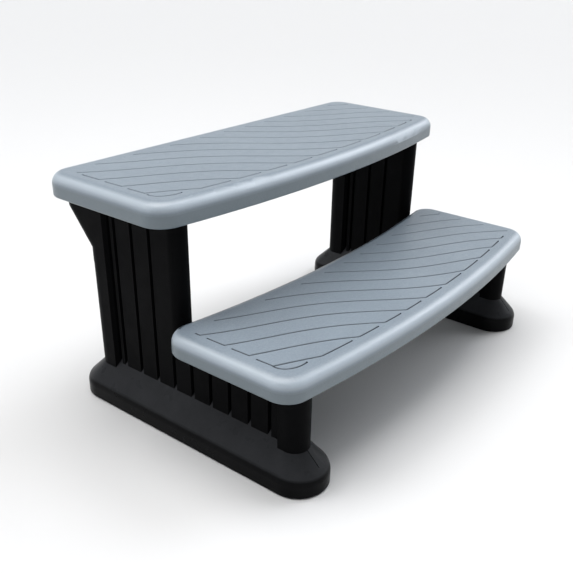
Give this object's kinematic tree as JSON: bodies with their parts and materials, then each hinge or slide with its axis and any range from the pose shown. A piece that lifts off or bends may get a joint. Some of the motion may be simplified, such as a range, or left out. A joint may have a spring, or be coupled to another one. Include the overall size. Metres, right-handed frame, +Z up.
{
  "type": "spa steps",
  "caption": "Two-tread moulded plastic steps for getting into a hot tub: bowed grooved treads on fluted side panels that stand in long base feet.",
  "frame": {"origin": "on the floor, under the middle of the whole object's box", "axes": "+X to the right as seen by someone standing in front of the lower tread, +Y to the back where the tub stands, +Z up"},
  "size_m": [0.762, 0.5079, 0.381],
  "materials": {
    "tread_resin": "fine-grained blue-grey resin",
    "panel_resin": "satin black resin",
    "pad_rubber": "matte black rubber",
    "screw_steel": "plain stainless"
  },
  "bodies": {
    "root": {"upper_tread": "tread_resin", "lower_tread": "tread_resin", "left_side_panel": "panel_resin", "left_base_foot": "panel_resin", "left_foot_pad_front": "pad_rubber", "left_foot_pad_mid_front": "pad_rubber", "left_foot_pad_mid_rear": "pad_rubber", "left_foot_pad_rear": "pad_rubber", "left_upper_tread_screws": "screw_steel", "left_lower_tread_screws": "screw_steel", "left_base_screws": "screw_steel", "right_side_panel": "panel_resin", "right_base_foot": "panel_resin", "right_foot_pad_front": "pad_rubber", "right_foot_pad_mid_front": "pad_rubber", "right_foot_pad_mid_rear": "pad_rubber", "right_foot_pad_rear": "pad_rubber", "right_upper_tread_screws": "screw_steel", "right_lower_tread_screws": "screw_steel", "right_base_screws": "screw_steel"}
  },
  "joints": []
}
